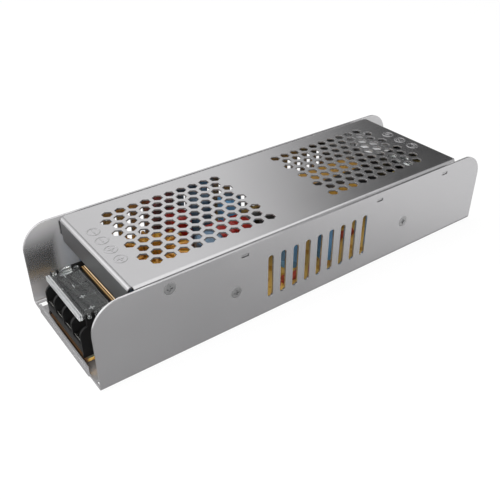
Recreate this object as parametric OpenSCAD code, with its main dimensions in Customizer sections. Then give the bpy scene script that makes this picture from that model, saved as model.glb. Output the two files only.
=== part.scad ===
// Slim switch-mode power supply: a folded sheet-metal channel with a perforated cover,
// screw terminals with clear flip covers at both ends and a populated board inside.
// Millimetres, +Z up. The origin is on the floor under the middle of the case.
// The output terminals are at -X, the mains terminals at +X.

/* [Chassis] */
// Length of the side plates
body_l = 226; // [222:1:240]
// Outside width across the side plates
body_w = 71; // [70:0.5:78]
// Height of the side plates above the floor
body_h = 41.2; // [40:0.2:46]
// Thickness of the chassis sheet
sheet_t = 1; // [0.8:0.1:1.2]
// Outside radius of the long base bends
bend_r = 2; // [1.5:0.1:2.5]
// Radius of the rounded plate ears
ear_r = 13; // [5:0.5:14]
// How far the side plates stand out past the cover at each end
ear_len = 17.7; // [17:0.1:18.5]
// Height of the turned-up end lips
lip_h = 6; // [4:0.1:6.4]
// Width of the turned-up end lips
lip_w = 50; // [40:1:54]
// How far each lip stands out past the plate ends
lip_out = 0.95; // [0.6:0.05:1.4]
// Side of the square relief holes in the base corners
relief_w = 4; // [2:0.5:5]
// Radius of the tapped mounting holes in the base
mount_r = 1.65; // [1.2:0.05:2.1]
// Mounting hole distance from the middle along the length
mount_x = 75; // [60:1:85]
// Mounting hole distance from the middle across the width
mount_y = 22; // [15:1:25]

/* [Side vents] */
// Number of slots in the middle vent group
slot_n = 9; // [5:2:9]
// Number of slots in each outer vent group of the far plate
far_slot_n = 4; // [2:1:4]
// Spacing of the vent slots
slot_pitch = 7.1; // [6:0.1:7.2]
// Width of a vent slot
slot_w = 3; // [2:0.1:3.6]
// Height of a vent slot over its round ends
slot_h = 22.5; // [14:0.5:23]
// Height of the vent slot bottoms above the floor
slot_z = 9.2; // [7:0.1:9.7]
// Middle of the outer vent group of the far plate at the output end
far_out_x = -65; // [-68:0.5:-62]
// Middle of the outer vent group of the far plate at the mains end
far_in_x = 49.7; // [49:0.5:54]

/* [Top cover] */
// Thickness of the cover sheet
cover_t = 0.8; // [0.6:0.1:1]
// Height of the cover top above the plate rims
cover_rise = 0.5; // [0.2:0.1:1]
// Gap between the cover flanges and the side plates
cover_gap = 0.3; // [0.1:0.1:0.5]
// Outside radius of the cover bends
cover_r = 2; // [1.4:0.1:2.5]
// Depth of the long cover flanges
side_drop = 9.2; // [8.5:0.1:10]
// Depth of the end flanges of the cover
end_drop = 12.2; // [9:0.1:13]
// Width of the end flanges of the cover
end_flange_w = 64; // [56:1:65]
// Spacing of the hexagonal holes along a row
hex_pitch = 6.43; // [5.8:0.01:6.6]
// Hexagonal hole size across flats
hex_flats = 4.6; // [3:0.1:5]
// Rows of hexagonal holes
hex_rows = 9; // [5:2:9]
// Hexagonal holes in each row of a field
hex_cols = 10; // [6:1:10]
// Distance from the middle to the first hole of each field
field_x = 18.9; // [16:0.1:20]
// Outside radius of the embossed rings
ring_r = 3; // [2:0.1:3.5]
// Height of the embossed rings
ring_h = 0.2; // [0.1:0.05:0.4]
// Spacing of the embossed rings over the output terminals
out_ring_pitch = 8.4; // [8:0.1:9.5]
// Spacing of the embossed rings over the mains terminals
in_ring_pitch = 9; // [8:0.1:10]
// Distance of the embossed rings from the cover ends
ring_in = 7.2; // [6:0.1:8]

/* [Case fasteners] */
// Place of the cover screws along the length
cover_screw_x = -78.8; // [-84:0.2:-76]
// Height of the cover screws
cover_screw_z = 36.1; // [35.6:0.1:36.6]
// Head radius of the countersunk case screws
case_head_r = 2.7; // [2.2:0.1:3]
// Shank radius of the countersunk case screws
case_shank_r = 1.4; // [1.2:0.05:1.5]
// Places of the snap windows along the length
snap_at = [-42.2, 37.5, 84.3];
// Length of a snap window
snap_l = 3.8; // [3:0.1:5]
// Height of a snap window
snap_h = 1.4; // [1.2:0.1:1.8]
// Height of the snap windows above the floor
snap_z = 37.1; // [36.6:0.1:37.6]
// Place of the rectifier clamp screw along the length
rect_x = -46.9; // [-50:0.1:-46]
// Height of the rectifier clamp screw
rect_z = 19.8; // [19.2:0.1:20.7]
// Place of the switch clamp screw along the length
switch_x = 56.5; // [55:0.1:58]
// Height of the switch clamp screw
switch_z = 18.3; // [18.2:0.1:19.2]

/* [Circuit board] */
// Thickness of the board
board_t = 1.6; // [1.2:0.1:2]
// Space between the base and the board
board_gap = 3.2; // [3:0.1:4]
// Thickness of the insulating film on the base
film_t = 0.25; // [0.1:0.05:0.4]
// Distance of the wide part of the board from the plate ends
board_in = 14; // [13:0.5:16]
// Gap between the board and the side plates
board_side = 1.3; // [0.8:0.1:2]
// Distance of the standoffs from the plate ends
stand_end = 18; // [18:0.5:19]
// Distance of the standoffs from the board sides
stand_side = 4.7; // [4.2:0.1:5.2]
// Radius of a standoff
stand_r = 2.7; // [2.2:0.1:3]

/* [Terminal blocks] */
// Number of output terminals
out_n = 4; // [2:1:4]
// Number of mains terminals
in_n = 3; // [2:1:4]
// Sideways place of the output terminal block
out_y = -1.2; // [-2:0.1:2]
// Sideways place of the mains terminal block
in_y = 0; // [-2:0.1:2]
// Clear width of a terminal bay
bay_w = 7.5; // [7.2:0.1:8]
// Thickness of the fins between the bays
fin_t = 1.4; // [1:0.1:2]
// Thickness of the end cheeks
cheek_t = 1.1; // [0.9:0.1:1.6]
// Distance of the block front from the plate ends
block_set = 0.8; // [0.6:0.1:1.2]
// Depth of the block body
block_d = 17.2; // [17.2:0.1:17.6]
// Depth over the end cheeks
cheek_d = 19.2; // [18.5:0.1:19.6]
// Height of the bay floor above the board
floor_h = 6.7; // [6:0.1:7.2]
// Height of the front undercut above the board
under_h = 2.4; // [1:0.1:3]
// Height of the fins above the board
fin_h = 14.9; // [14:0.1:15.5]
// Height of the end cheeks above the board
cheek_h = 20.7; // [20.7:0.1:21.5]
// Height of the rear wall above the board
rear_h = 17.8; // [16:0.1:17.8]
// Rounding of the fin front corners
fin_r = 4; // [2:0.1:4.5]

/* [Terminal hardware] */
// Thickness of a contact plate
contact_t = 1; // [0.8:0.1:1.2]
// Width of a contact plate
contact_w = 6.6; // [6:0.1:6.8]
// Distance of the screw axis from the block front
screw_u = 8.3; // [8.2:0.1:8.5]
// Radius of the terminal screw shank
screw_r = 1.7; // [1.5:0.05:1.75]
// Radius of the terminal screw head
head_r = 3.1; // [2.8:0.1:3.3]
// Height of the terminal screw head
head_h = 2.4; // [2:0.1:2.6]
// Side of a clamp washer
clamp_w = 6.6; // [6.2:0.1:6.8]
// Thickness of a clamp washer
clamp_t = 1; // [0.8:0.1:1.2]
// Length of the terminal screw shank below the head
screw_len = 6.4; // [5:0.1:6.6]

/* [Clear terminal covers] */
// Thickness of the clear panel
panel_t = 1.5; // [1.2:0.1:1.6]
// Height of the panel underside above the board
panel_h = 17.9; // [17.9:0.1:18.1]
// Distance of the hinge axis from the block front
pivot_u = 15.2; // [15.1:0.1:15.3]
// Height of the hinge axis above the board
pivot_h = 19.3; // [19.2:0.1:19.4]
// Radius of the hinge pegs
peg_r = 0.9; // [0.7:0.05:0.9]
// Running gap around the hinge pegs
peg_gap = 0.08; // [0.04:0.02:0.1]
// Distance of the latch pegs from the block front
latch_u = 5.2; // [5:0.1:5.3]
// Gap between the panel and the cheeks
panel_gap = 0.2; // [0.15:0.05:0.4]

/* [Output parts] */
// Middle of the output choke
choke_at = [-61.5, 8.5];
// Outside radius of the output choke core
choke_r = 16; // [14:0.5:16]
// Inside radius of the output choke core
choke_in_r = 9; // [8:0.5:10]
// Height of the output choke core
choke_h = 16; // [12:0.5:20]
// Wire thickness of the output choke
choke_wire = 1.6; // [1:0.1:1.8]
// Turns on the output choke
choke_turns = 22; // [14:1:24]
// Places of the output capacitors
out_cap_at = [[-85.5, -25], [-85.5, -9], [-85.5, 24], [-43, -8.5]];
// Place along the length of the output capacitor beside the far plate
side_cap_x = -26.5; // [-27:0.1:-26]
// Clearance between that capacitor and the far plate
side_clear = 1.6; // [1.5:0.1:2]
// Radius of an output capacitor over its sleeve
out_cap_r = 6.5; // [5:0.1:6.5]
// Height of an output capacitor
out_cap_h = 27; // [18:0.5:30]
// Places of the red film capacitors
film_cap_at = [[-30.4, 1.5], [-19, 1.5], [-39.5, 26]];
// Size of a red film capacitor
film_cap = [11, 13, 22];
// Places of the auxiliary capacitors
aux_cap_at = [[-0.9, -15], [19.1, -21], [-12, 20]];
// Radius of an auxiliary capacitor over its sleeve
aux_cap_r = 6; // [4:0.1:6.5]
// Height of an auxiliary capacitor
aux_cap_h = 25; // [16:0.5:28]

/* [Power stage] */
// Middle of the main transformer
main_at = [43.5, 7.5];
// Footprint of the main transformer core
main_l = 36; // [32:0.5:36]
// Width of the main transformer winding
main_w = 25; // [22:0.5:26]
// Height of the main transformer
main_h = 27; // [22:0.5:29]
// Thickness of the transformer core legs
leg_t = 6; // [5:0.2:7]
// Middle of the drive transformer
drive_at = [4, 5];
// Side of the drive transformer
drive_w = 12; // [10:0.5:13]
// Height of the drive transformer
drive_h = 14; // [10:0.5:16]
// Transistor package width
pack_w = 10; // [9:0.1:10.4]
// Transistor package thickness
pack_t = 4.5; // [4:0.1:4.8]
// Transistor package height over its tab
pack_h = 15.6; // [14:0.1:16]
// Distance of each package from its clamp screw
pack_off = 8.5; // [8:0.1:9.5]
// Thermal pad thickness
pad_t = 0.3; // [0.2:0.1:0.5]
// Clamp bar length
bar_l = 27; // [24:0.5:28]
// Clamp bar height
bar_h = 7; // [5:0.5:8]
// Clamp bar thickness
bar_t = 3; // [2:0.1:3.5]

/* [Mains parts] */
// Middle of the bulk capacitor
bulk_at = [81, 12];
// Radius of the bulk capacitor over its sleeve
bulk_r = 11; // [9:0.5:11]
// Height of the bulk capacitor
bulk_h = 30; // [24:0.5:32]
// Middle of the line filter choke
line_at = [67.4, 26.2];
// Outside radius of the line choke core
line_r = 6.5; // [6:0.1:6.5]
// Inside radius of the line choke core
line_in_r = 4.5; // [4.5:0.1:4.9]
// Height of the line choke core
line_h = 10; // [8:0.5:14]
// Wire thickness of the line choke
line_wire = 1.2; // [0.8:0.1:1.2]
// Turns in each line choke winding
line_turns = 7; // [4:1:7]
// Middle of the safety capacitor
safety_at = [83.2, -12];
// Size of the safety capacitor
safety_cap = [7, 24, 17];
// Middle of the bridge rectifier
bridge_at = [66, -14.5];
// Size of the bridge rectifier
bridge = [22, 4.6, 20];
// Middle of the inrush thermistor
therm_at = [66, 2];
// Radius of the inrush thermistor
therm_r = 6.5; // [5:0.1:7]
// Thickness of the inrush thermistor
therm_t = 4.5; // [3:0.1:5]
// Middle of the fuse
fuse_at = [89.6, -19];
// Length of the fuse
fuse_l = 20; // [18:0.5:22]
// Radius of the fuse
fuse_r = 2.6; // [2:0.1:3]
// Places of the disc capacitors
disc_at = [[77.2, -24], [73.2, -24]];
// Radius of a disc capacitor
disc_r = 5; // [3.5:0.1:5.5]
// Thickness of a disc capacitor
disc_t = 3.2; // [2.5:0.1:4]

/* [Control parts] */
// Middle of the controller chip
chip_at = [8, 25];
// Size of the controller chip
chip = [19, 6.4, 3.6];
// Places of the optocouplers
opto_at = [[-9.4, 4], [-9.4, -4]];
// Size of an optocoupler
opto = [6.4, 5, 3.6];
// Places of the power resistors
res_at = [[-9.5, -28], [36, -15], [27, 29]];
// Radius of a power resistor
res_r = 2.3; // [1.5:0.1:2.8]
// Length of a power resistor
res_l = 11; // [8:0.5:13]

/* [Hidden] */
$fn = 48;
over = 1;
inner_w = body_w - 2 * sheet_t;
end_x = body_l / 2;
lip_x = end_x + lip_out;
lip_r = 1.9 * sheet_t;
lip_run = lip_out + 3;
relief_in = 0.8;
cover_l = body_l - 2 * ear_len;
cover_top = body_h + cover_rise;
cover_w = inner_w - 2 * cover_gap;
notch_d = cover_r + 0.2;
hex_r = hex_flats / sqrt(3);
hex_row = hex_pitch * sqrt(3) / 2;
ring_t = 0.45;
snap_gap = 0.35;
snap_out = 1;
board_z = sheet_t + board_gap;
board_top = board_z + board_t;
board_w = inner_w - 2 * board_side;
front_x = end_x - block_set;
end_zone = 20;
plan_l = 184.4;
plan_w = 69;
fit_l = 2 * (front_x - end_zone) / plan_l;
fit_w = inner_w / plan_w;
part_k = min(1, fit_l, fit_w);
out_cap_place = concat(out_cap_at, [[side_cap_x, plan_w / 2 - out_cap_r - side_clear]]);
cover_screw_at = cover_screw_x * fit_l;
rect_at = rect_x * fit_l;
switch_at = switch_x * fit_l;
hex_step = hex_pitch * min(1, fit_l);
stand_x = end_x - stand_end;
stand_y = board_w / 2 - stand_side;
tongue_side = 1.2;
out_w = out_n * bay_w + (out_n - 1) * fin_t + 2 * cheek_t;
in_w = in_n * bay_w + (in_n - 1) * fin_t + 2 * cheek_t;
bay_pitch = bay_w + fin_t;
cheek_u = 3.6;
slot_clear = 0.15;
leg_u = 13;
leg_w = 3;
leg_down = 0.6;
fit = 0.1;
bore_r = screw_r + 0.5;
contact_top = floor_h + contact_t;
clamp_z = contact_top + fit;
head_z = clamp_z + clamp_t + fit;
cross_w = 0.9;
cross_l = 3.6;
cross_d = 1.2;
panel_u = 1.2;
panel_back = 0.5;
bead_d = 2;
bead_drop = 0;
bead_rise = 1;
step_d = 0.8;
step_rise = 0.25;
tab_u = 7.9;
tab_l = 4.8;
tab_drop = 1.2;
tab_front = 0.7;
tab_rear = 0.6;
tab_under = 0.3;
latch_gap = 0.2;
peg_bore = 0.4;
ledge_u = 13.5;
ledge_l = 0.9;
ledge_w = 0.8;
ledge_h = 1;
ledge_gap = 0.2;
card_t = 0.5;
card_gap = 0.45;
card_plies = 3;
card_h = 18.9;
card_u = 17.4;
card_w = out_w - 2 * cheek_t - 1;
can_t = 0.25;
can_fit = 0.05;
shoulder_r = 1.1;
groove_share = 0.12;
tape_t = 0.3;
groove_z = 4;
vent_w = 0.4;
pin_r = 0.35;
pin_in = 1;
collar_t = 0.7;
collar_h = 0.8;
dome_drop = 0.7;
clamp_round = 0.62;
slit_w = 1.2;
slit_l = 18;
dip_r = 2;
safety_r = 0.8;
stand_off = 0.6;
dip_pitch = 2.54;
dip_leg_w = 0.6;
dip_leg_t = 0.35;
tab_hole_r = 1.8;
bone_share = 0.82;
bone_end = 0.24;
bone_r = 0.6;
lead_bend = 1;
winding_arc = 140;
half_turn = 180;
lead_out = 0.6;

// Flat channel section, open at the top, with rounded lower corners
module rounded_channel(w, h, r) {
  translate([-w / 2, r]) square([w, h - r]);
  translate([-w / 2 + r, 0]) square([w - 2 * r, h]);
  for (side = [-1, 1])
    translate([side * (w / 2 - r), r]) circle(r);
}

// Sheet bent to a channel of constant thickness
module sheet_channel(w, h, r, t) {
  difference() {
    rounded_channel(w, h, r);
    translate([0, t]) rounded_channel(w - 2 * t, h, r - t);
  }
}

// Flat corner with a rounded outside at the origin
module corner_outline(run, high, r) {
  translate([r, 0]) square([run - r, high]);
  translate([0, r]) square([run, high - r]);
  translate([r, r]) circle(r);
}

// Round-ended slot standing on the origin
module slot_shape(w, h) {
  translate([-w / 2, w / 2]) square([w, h - w]);
  for (z = [w / 2, h - w / 2])
    translate([0, z]) circle(w / 2);
}

// Moves a piece to the outer face of a side plate, its z axis pointing inwards
module at_side(side, x, z) {
  translate([x, side * body_w / 2, z])
    rotate([side * 90, 0, 0]) children();
}

// Block frame at the output end: x runs inwards from the block front, z from the board
module at_output() {
  translate([-front_x, out_y, board_top]) children();
}

// Block frame at the mains end
module at_input() {
  translate([front_x, in_y, board_top])
    rotate([0, 0, 180]) children();
}

// Moves a part to its place in the board plan, which follows the size of the case
module on_board(at) {
  translate([at[0] * fit_l, at[1] * fit_w, board_top])
    scale(part_k) children();
}

// Sideways place of terminal i of n in the block frame
function bay_y(i, n) = (i - (n - 1) / 2) * bay_pitch;

// Side view of the chassis plates with their rounded ears
module plate_outline() {
  translate([-end_x, 0]) square([body_l, body_h - ear_r]);
  translate([-end_x + ear_r, 0]) square([body_l - 2 * ear_r, body_h]);
  for (end = [-1, 1])
    translate([end * (end_x - ear_r), body_h - ear_r]) circle(ear_r);
}

// One group of vent slots through a side plate
module vent_group(side, middle, count) {
  for (i = [0 : count - 1])
    translate([middle + (i - (count - 1) / 2) * slot_pitch, side * body_w / 2, slot_z])
      rotate([90, 0, 0])
        linear_extrude(4 * sheet_t, center = true) slot_shape(slot_w, slot_h);
}

// Countersunk hole through a sheet, from the outside
module countersink(r_head, r_hole, t) {
  translate([0, 0, -over]) cylinder(h = t + 2 * over, r = r_hole);
  cylinder(h = t, r1 = r_head, r2 = r_hole);
}

// Turned-up lip at one end of the base
module end_lip() {
  translate([-lip_x, 0, 0])
    rotate([90, 0, 0])
      linear_extrude(lip_w, center = true)
        difference() {
          corner_outline(lip_run, lip_h, lip_r);
          translate([sheet_t, sheet_t]) corner_outline(lip_run, lip_h, lip_r - sheet_t);
        }
}

// Folded channel: base with tapped collars, both side plates with vents, end lips
module chassis() {
  color("silver")
    difference() {
      union() {
        intersection() {
          rotate([90, 0, 90])
            linear_extrude(body_l, center = true)
              sheet_channel(body_w, body_h, bend_r, sheet_t);
          rotate([90, 0, 0])
            linear_extrude(body_w + 2 * over, center = true) plate_outline();
        }
        end_lip();
        mirror([1, 0, 0]) end_lip();
        for (x = [-mount_x, mount_x])
          for (y = [-mount_y, mount_y])
            translate([x, y, sheet_t / 2])
              cylinder(h = sheet_t / 2 + collar_h, r = mount_r + collar_t);
      }
      vent_group(-1, 0, slot_n);
      vent_group(1, 0, slot_n);
      vent_group(1, far_out_x * fit_l, far_slot_n);
      vent_group(1, far_in_x * fit_l, far_slot_n);
      for (side = [-1, 1])
        at_side(side, cover_screw_at, cover_screw_z)
          countersink(case_head_r + fit, case_shank_r + fit, sheet_t);
      at_side(-1, rect_at, rect_z) countersink(case_head_r + fit, case_shank_r + fit, sheet_t);
      at_side(-1, switch_at, switch_z)
        countersink(case_head_r + fit, case_shank_r + fit, sheet_t);
      for (side = [-1, 1])
        for (x = snap_at)
          translate([x * fit_l, side * body_w / 2, snap_z])
            cube([snap_l, 4 * sheet_t, snap_h], center = true);
      for (end = [-1, 1])
        for (side = [-1, 1])
          translate([end * (end_x - relief_in - relief_w / 2),
                     side * (inner_w / 2 - bend_r + sheet_t - relief_w / 2), 0])
            cube([relief_w, relief_w, 4 * sheet_t], center = true);
      for (x = [-mount_x, mount_x])
        for (y = [-mount_y, mount_y])
          translate([x, y, -over]) cylinder(h = sheet_t + collar_h + 2 * over, r = mount_r);
    }
}

// Hexagonal perforations of one cover field, seen from above
module hex_field(end) {
  for (row = [-(hex_rows - 1) / 2 : (hex_rows - 1) / 2])
    for (col = [0 : hex_cols - 1])
      translate([end * (field_x * fit_l + (col + (abs(row) % 2) / 2) * hex_step), row * hex_row])
        rotate(90) circle(r = hex_r, $fn = 6);
}

// Embossed ring on the cover top
module cover_ring() {
  translate([0, 0, cover_top - cover_t / 2])
    difference() {
      cylinder(h = ring_h + cover_t / 2, r = ring_r);
      translate([0, 0, -over]) cylinder(h = ring_h + cover_t + 2 * over, r = ring_r - ring_t);
    }
}

// Perforated cover with four bent flanges, snap bumps and embossed rings
module top_cover() {
  color("lightgray")
    difference() {
      union() {
        translate([0, 0, cover_top])
          rotate([90, 0, 90])
            linear_extrude(cover_l - 2 * notch_d, center = true)
              mirror([0, 1]) sheet_channel(cover_w, side_drop, cover_r, cover_t);
        translate([0, 0, cover_top])
          rotate([90, 0, 0])
            linear_extrude(end_flange_w, center = true)
              mirror([0, 1]) sheet_channel(cover_l, end_drop, cover_r, cover_t);
        for (side = [-1, 1])
          translate([-cover_l / 2, side * (cover_w - cover_t) / 2 - cover_t / 2,
                     cover_top - side_drop])
            cube([cover_l, cover_t, side_drop - notch_d]);
        for (side = [-1, 1])
          for (x = snap_at)
            translate([x * fit_l, side * (cover_w / 2 + snap_out / 2 - cover_t / 4), snap_z])
              cube([snap_l - 2 * snap_gap, snap_out + cover_t / 2, snap_h - 2 * snap_gap],
                   center = true);
        for (i = [0 : out_n - 1])
          translate([-cover_l / 2 + ring_in, (i - (out_n - 1) / 2) * out_ring_pitch, 0])
            cover_ring();
        for (i = [0 : in_n - 1])
          translate([cover_l / 2 - ring_in, (i - (in_n - 1) / 2) * in_ring_pitch, 0])
            cover_ring();
      }
      translate([0, 0, cover_top - 2 * cover_t])
        linear_extrude(4 * cover_t) {
          hex_field(-1);
          hex_field(1);
        }
      for (side = [-1, 1])
        at_side(side, cover_screw_at, cover_screw_z)
          cylinder(h = sheet_t + cover_gap + cover_t + over, r = case_shank_r + fit / 2);
    }
}

// Countersunk screw along z with its head face on the origin
module case_screw(len) {
  difference() {
    union() {
      cylinder(h = sheet_t, r1 = case_head_r, r2 = case_shank_r);
      cylinder(h = len, r = case_shank_r);
    }
    for (turn = [0, 90])
      rotate(turn) cube([cross_l - cross_w, cross_w, cross_d], center = true);
  }
}

// Screws that hold the cover to both side plates
module cover_screws() {
  color("gray")
    for (side = [-1, 1])
      at_side(side, cover_screw_at, cover_screw_z)
        case_screw(sheet_t + cover_gap + 2 * cover_t);
}

// Amber film lying on the base under the board
module insulating_film() {
  color([0.75, 0.5, 0.15])
    difference() {
      translate([-end_x + board_in / 2, -board_w / 2, sheet_t])
        cube([body_l - board_in, board_w, film_t]);
      for (x = [-stand_x, stand_x])
        for (y = [-stand_y, stand_y])
          translate([x, y, 0]) cylinder(h = board_gap + sheet_t, r = stand_r + fit);
      for (x = [-mount_x, mount_x])
        for (y = [-mount_y, mount_y])
          translate([x, y, 0]) cylinder(h = board_gap + sheet_t, r = 2 * mount_r);
      for (end = [-1, 1])
        for (side = [-1, 1])
          translate([end * end_x, side * board_w / 2, sheet_t])
            cube([4 * relief_w, 4 * relief_w, 4 * sheet_t], center = true);
    }
}

// Slots in the board for the contact legs of one block
module leg_slots(n) {
  for (i = [0 : n - 1])
    translate([leg_u - slot_clear, bay_y(i, n) - leg_w / 2 - slot_clear, -2 * board_t])
      cube([contact_t + 2 * slot_clear, leg_w + 2 * slot_clear, 3 * board_t]);
}

// Board with a narrow tongue under each terminal block
module circuit_board() {
  color([0.72, 0.5, 0.2])
    difference() {
      union() {
        translate([-end_x + board_in, -board_w / 2, board_z])
          cube([body_l - 2 * board_in, board_w, board_t]);
        translate([-front_x + fit, out_y - out_w / 2 - tongue_side, board_z])
          cube([front_x, out_w + 2 * tongue_side, board_t]);
        translate([-fit, in_y - in_w / 2 - tongue_side, board_z])
          cube([front_x, in_w + 2 * tongue_side, board_t]);
      }
      for (x = [-stand_x, stand_x])
        for (y = [-stand_y, stand_y])
          translate([x, y, 0]) cylinder(h = body_h, r = stand_r / 2 + fit);
      at_output() leg_slots(out_n);
      at_input() leg_slots(in_n);
      translate([opto_at[0][0] * fit_l, (opto_at[0][1] + opto_at[1][1]) * fit_w / 2, board_z])
        cube([slit_w, slit_l, 4 * board_t], center = true);
    }
}

// Low domed screw head standing on the origin
module domed_head(r, h) {
  dome_r = (r * r + dome_drop * dome_drop) / (2 * dome_drop);
  intersection() {
    cylinder(h = h, r = r);
    translate([0, 0, h - dome_r]) sphere(dome_r, $fn = 96);
  }
}

// Threaded spacers between the base and the board
module board_standoffs() {
  color("gold")
    for (x = [-stand_x, stand_x])
      for (y = [-stand_y, stand_y])
        translate([x, y, sheet_t])
          difference() {
            cylinder(h = board_gap, r = stand_r);
            translate([0, 0, -over]) cylinder(h = board_gap + 2 * over, r = stand_r / 2);
          }
}

// Pan-head screws that hold the board to the spacers
module board_screws() {
  color("silver")
    for (x = [-stand_x, stand_x])
      for (y = [-stand_y, stand_y])
        translate([x, y, board_top])
          difference() {
            union() {
              domed_head(stand_r, stand_r * 0.7);
              translate([0, 0, -board_t - board_gap * 0.8])
                cylinder(h = board_t + board_gap, r = stand_r / 2 - fit / 2);
            }
            for (turn = [0, 90])
              translate([0, 0, stand_r * 0.7])
                rotate(turn) cube([stand_r, cross_w, cross_d], center = true);
          }
}

// Side view of a fin, also the lower part of a cheek
module fin_outline(depth, bottom) {
  translate([fin_r, bottom]) square([depth - fin_r, fin_h - bottom]);
  translate([0, bottom]) square([depth, fin_h - fin_r - bottom]);
  translate([fin_r, fin_h - fin_r]) circle(fin_r);
}

// Side view of an end cheek with its peg hole, latch notch and tab notch
module cheek_outline() {
  difference() {
    union() {
      fin_outline(cheek_d, 0);
      translate([cheek_u, 0]) square([cheek_d - cheek_u, cheek_h]);
    }
    translate([pivot_u, pivot_h]) circle(peg_r + peg_gap);
    translate([latch_u, pivot_h]) circle(peg_r + latch_gap);
    translate([latch_u - peg_r - latch_gap, pivot_h])
      square([2 * (peg_r + latch_gap), cheek_h]);
    translate([tab_u - tab_front, panel_h - tab_drop - tab_under])
      square([tab_l + tab_front + tab_rear, cheek_h]);
  }
}

// Moulded terminal block with n bays
module terminal_block(n, w) {
  difference() {
    union() {
      translate([0, -w / 2, under_h]) cube([block_d, w, floor_h - under_h]);
      translate([block_d - fin_t, -w / 2, 0]) cube([fin_t, w, rear_h]);
      for (i = [0 : n - 2])
        translate([0, bay_y(i, n) + bay_pitch / 2, 0])
          rotate([90, 0, 0])
            linear_extrude(fin_t, center = true) fin_outline(block_d, under_h);
      for (side = [-1, 1])
        translate([0, side * (w - cheek_t) / 2, 0])
          rotate([90, 0, 0])
            linear_extrude(cheek_t, center = true) cheek_outline();
      for (side = [-1, 1])
        translate([ledge_u, side * (w / 2 - cheek_t) - ledge_w / 2,
                   panel_h - ledge_gap - ledge_h])
          cube([ledge_l, ledge_w, ledge_h]);
    }
    for (i = [0 : n - 1]) {
      translate([screw_u, bay_y(i, n), -over]) cylinder(h = floor_h + 2 * over, r = bore_r);
      translate([leg_u - slot_clear, bay_y(i, n) - leg_w / 2 - slot_clear, -over])
        cube([contact_t + 2 * slot_clear, leg_w + 2 * slot_clear, floor_h + 2 * over]);
    }
  }
}

module output_terminal_block() {
  color([0.08, 0.08, 0.09]) at_output() terminal_block(out_n, out_w);
}

module input_terminal_block() {
  color([0.08, 0.08, 0.09]) at_input() terminal_block(in_n, in_w);
}

// Hollow peg standing out sideways from a clear cover
module cover_peg(w, u) {
  for (side = [-1, 1])
    translate([u, side * (w / 2 - cheek_t / 2), pivot_h])
      rotate([90, 0, 0])
        difference() {
          cylinder(h = cheek_t + 2 * panel_gap, r = peg_r, center = true);
          translate([0, 0, -side * cheek_t])
            cylinder(h = 2 * cheek_t, r = peg_bore, center = true);
        }
}

// Clear flip cover: panel, stepped front bead, end tabs, hinge and latch pegs
module terminal_cover(w) {
  panel_w = w - 2 * cheek_t - 2 * panel_gap;
  union() {
    translate([panel_u, -panel_w / 2, panel_h])
      cube([pivot_u + panel_back - panel_u, panel_w, panel_t]);
    translate([panel_u, -panel_w / 2, panel_h - bead_drop])
      cube([bead_d, panel_w, panel_t + bead_drop + bead_rise]);
    translate([panel_u, -panel_w / 2, panel_h])
      cube([bead_d + step_d, panel_w, panel_t + step_rise]);
    for (side = [-1, 1])
      translate([tab_u, side * (w / 2 - cheek_t / 2 - panel_gap / 2) - cheek_t / 2 - panel_gap / 2,
                 panel_h - tab_drop])
        cube([tab_l, cheek_t + panel_gap, cheek_h - panel_h + tab_drop]);
    cover_peg(w, pivot_u);
    cover_peg(w, latch_u);
  }
}

module output_terminal_cover() {
  color([0.8, 0.85, 0.85, 0.4]) at_output() terminal_cover(out_w);
}

module input_terminal_cover() {
  color([0.8, 0.85, 0.85, 0.4]) at_input() terminal_cover(in_w);
}

// Bent contact plate: a flat top with a tapped hole and a leg through the board
module contact_plate() {
  difference() {
    union() {
      translate([cross_w / 2, -contact_w / 2, floor_h])
        cube([leg_u + contact_t - cross_w / 2, contact_w, contact_t]);
      translate([leg_u, -leg_w / 2, -board_t - leg_down])
        cube([contact_t, leg_w, floor_h + board_t + leg_down + contact_t / 2]);
    }
    translate([screw_u, 0, floor_h - over]) cylinder(h = contact_t + 2 * over, r = screw_r + fit / 2);
  }
}

module output_contacts() {
  color([0.8, 0.8, 0.78])
    at_output()
      for (i = [0 : out_n - 1])
        translate([0, bay_y(i, out_n), 0]) contact_plate();
}

module input_contacts() {
  color([0.8, 0.8, 0.78])
    at_input()
      for (i = [0 : in_n - 1])
        translate([0, bay_y(i, in_n), 0]) contact_plate();
}

// Square clamp washer that rides under a screw head
module clamp_washer() {
  translate([screw_u, 0, clamp_z])
    difference() {
      intersection() {
        translate([-clamp_w / 2, -clamp_w / 2, 0]) cube([clamp_w, clamp_w, clamp_t]);
        cylinder(h = clamp_t, r = clamp_w * clamp_round);
      }
      translate([0, 0, -over]) cylinder(h = clamp_t + 2 * over, r = screw_r + fit / 2);
    }
}

// Pan-head terminal screw with a cross recess
module terminal_screw() {
  translate([screw_u, 0, head_z])
    difference() {
      union() {
        domed_head(head_r, head_h);
        translate([0, 0, -screw_len]) cylinder(h = screw_len + head_h / 2, r = screw_r);
      }
      for (turn = [0, 90])
        translate([0, 0, head_h])
          rotate(turn) cube([cross_l, cross_w, 2 * cross_d], center = true);
    }
}

module output_clamp(i) {
  if (i < out_n)
    color("silver") at_output() translate([0, bay_y(i, out_n), 0]) clamp_washer();
}

module output_screw(i) {
  if (i < out_n)
    color("silver") at_output() translate([0, bay_y(i, out_n), 0]) terminal_screw();
}

module input_clamp(i) {
  if (i < in_n)
    color("silver") at_input() translate([0, bay_y(i, in_n), 0]) clamp_washer();
}

module input_screw(i) {
  if (i < in_n)
    color("silver") at_input() translate([0, bay_y(i, in_n), 0]) terminal_screw();
}

// Folded amber card standing behind the output block
module barrier_card() {
  color([0.85, 0.68, 0.4])
    at_output() {
      translate([card_u, -card_w / 2, 0])
        cube([card_plies * (card_t + card_gap) - card_gap, card_w, card_t]);
      for (i = [0 : card_plies - 1])
        translate([card_u + i * (card_t + card_gap), -card_w / 2, 0])
          cube([card_t, card_w, card_h]);
    }
}

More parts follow.
